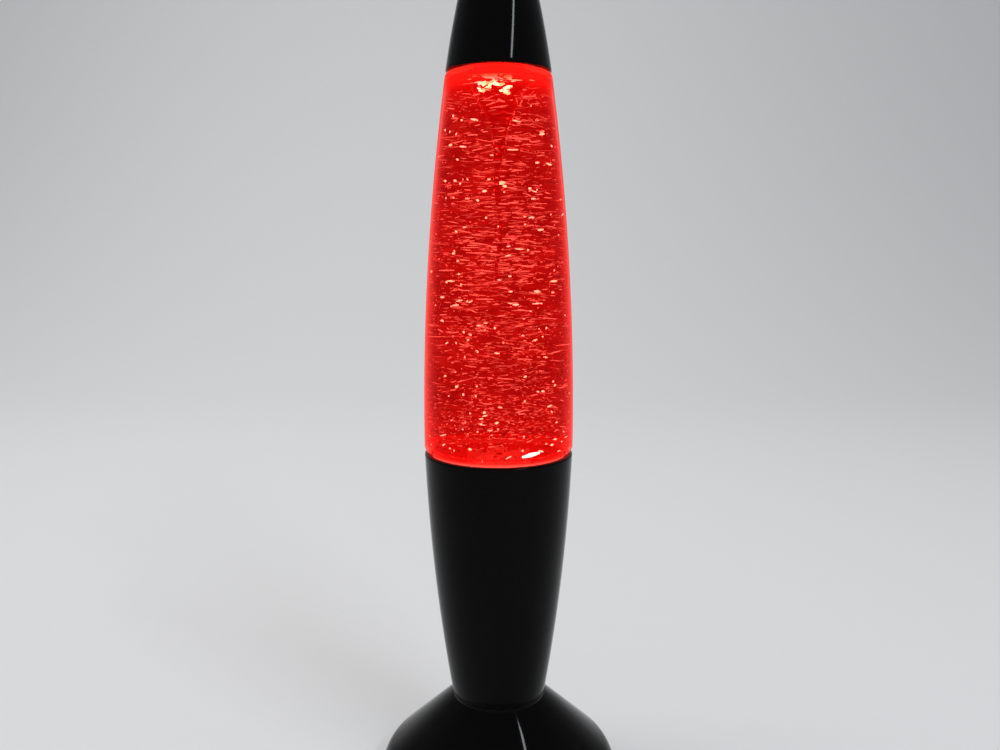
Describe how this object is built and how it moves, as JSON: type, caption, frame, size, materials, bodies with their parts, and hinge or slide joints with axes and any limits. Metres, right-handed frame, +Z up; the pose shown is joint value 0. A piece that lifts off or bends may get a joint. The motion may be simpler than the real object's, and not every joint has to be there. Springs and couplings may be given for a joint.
{
  "type": "tornado lamp",
  "caption": "Table lamp with a lift-out bottle of lit red glitter liquid, stirred into a whirl by a magnetic drive, between a flared black foot and a tapered black cap.",
  "frame": {"origin": "on the table, under the lamp's axis", "axes": "+Z up along the lamp's axis, +Y towards the rear panel with the button and the power socket"},
  "size_m": [0.1036, 0.1035, 0.36],
  "materials": {
    "shell_black": "moulded, high gloss",
    "cover_black": "moulded, fine grain",
    "button_black": "moulded, satin",
    "screw_steel": "zinc plated",
    "sheet_steel": "bright, drawn or ground",
    "foot_rubber": "matt",
    "seat_foam": "soft closed-cell ring",
    "cell_wrap": "plain shrink wrap",
    "board_green": "solder mask",
    "board_white": "white solder mask",
    "dark_plastic": "moulded",
    "white_plastic": "moulded",
    "reflector_white": "moulded",
    "terminal_brass": "stamped",
    "ferrite": "sintered",
    "copper": "enamelled wire on a laminated core",
    "magnet_nickel": "nickel plated",
    "window_clear": "clear",
    "bottle_clear": "clear, thick walled",
    "seal_foam": "foam disc",
    "liquid_red": "lit from below",
    "glitter_foil": "foil flakes in red light",
    "diode_lens": "lit",
    "lead_red": "stranded wire in plastic",
    "lead_black": "stranded wire in plastic"
  },
  "bodies": {
    "base": {"base_foot": "shell_black", "bottom_cover": "cover_black", "cover_screws": "screw_steel", "rubber_feet": "foot_rubber", "cells": "cell_wrap", "battery_springs": "sheet_steel", "battery_contacts": "sheet_steel", "rear_panel": "cover_black", "control_board": "board_green", "switch_body": "dark_plastic", "power_socket": "sheet_steel", "socket_tongue": "dark_plastic", "base_column": "shell_black", "waist_screws": "screw_steel", "motor_bracket": "white_plastic", "bracket_screws": "screw_steel", "motor_can": "sheet_steel", "motor_end_cap": "dark_plastic", "motor_terminals": "terminal_brass", "stator_magnet": "ferrite", "motor_screws": "screw_steel", "lamp_board": "board_white", "board_screws": "screw_steel", "diodes": "diode_lens", "reflector": "reflector_white", "light_window": "window_clear", "seat_ring": "seat_foam", "red_leads": "lead_red", "black_leads": "lead_black"},
    "rotor": {"motor_shaft": "sheet_steel", "motor_armature": "copper", "magnet_carrier": "white_plastic", "drive_magnets": "magnet_nickel"},
    "bottle": {"bottle": "bottle_clear", "pivot_pin": "sheet_steel", "pin_cap": "white_plastic", "closure_seal": "seal_foam", "bottle_closure": "white_plastic"},
    "stirrer": {"stirrer": "white_plastic", "stirrer_magnets": "magnet_nickel"},
    "swirl": {"liquid": "liquid_red", "glitter": "glitter_foil"},
    "cap": {"top_cap": "shell_black"},
    "button": {"power_button": "button_black"},
    "battery_door": {"battery_door": "cover_black"}
  },
  "joints": [
    {"name": "motor_spin", "type": "hinge", "parent": "base", "child": "rotor", "pos_m": [0, 0, 0.12], "axis": [0, 0, 1], "continuous": true},
    {"name": "stirrer_spin", "type": "hinge", "parent": "bottle", "child": "stirrer", "pos_m": [0, 0, 0.144], "axis": [0, 0, 1], "continuous": true},
    {"name": "swirl_spin", "type": "hinge", "parent": "bottle", "child": "swirl", "pos_m": [0, 0, 0.2], "axis": [0, 0, 1], "continuous": true},
    {"name": "bottle_lift", "type": "slide", "parent": "base", "child": "bottle", "axis": [0, 0, 1], "range_m": [0, 0.05]},
    {"name": "cap_lift", "type": "slide", "parent": "bottle", "child": "cap", "axis": [0, 0, 1], "range_m": [0, 0.05]},
    {"name": "button_press", "type": "slide", "parent": "base", "child": "button", "axis": [0, -1, 0], "range_m": [0, 0.0015], "stiffness_N_per_m": 600, "springref_m": -0.001},
    {"name": "battery_door_swing", "type": "hinge", "parent": "base", "child": "battery_door", "pos_m": [0, -0.02895, 0.0015], "axis": [-1, 0, 0], "range_deg": [0, 70]}
  ],
  "couplings": [
    {"joint": "stirrer_spin", "follows": "motor_spin", "ratio": 1},
    {"joint": "swirl_spin", "follows": "motor_spin", "ratio": 0.25}
  ]
}
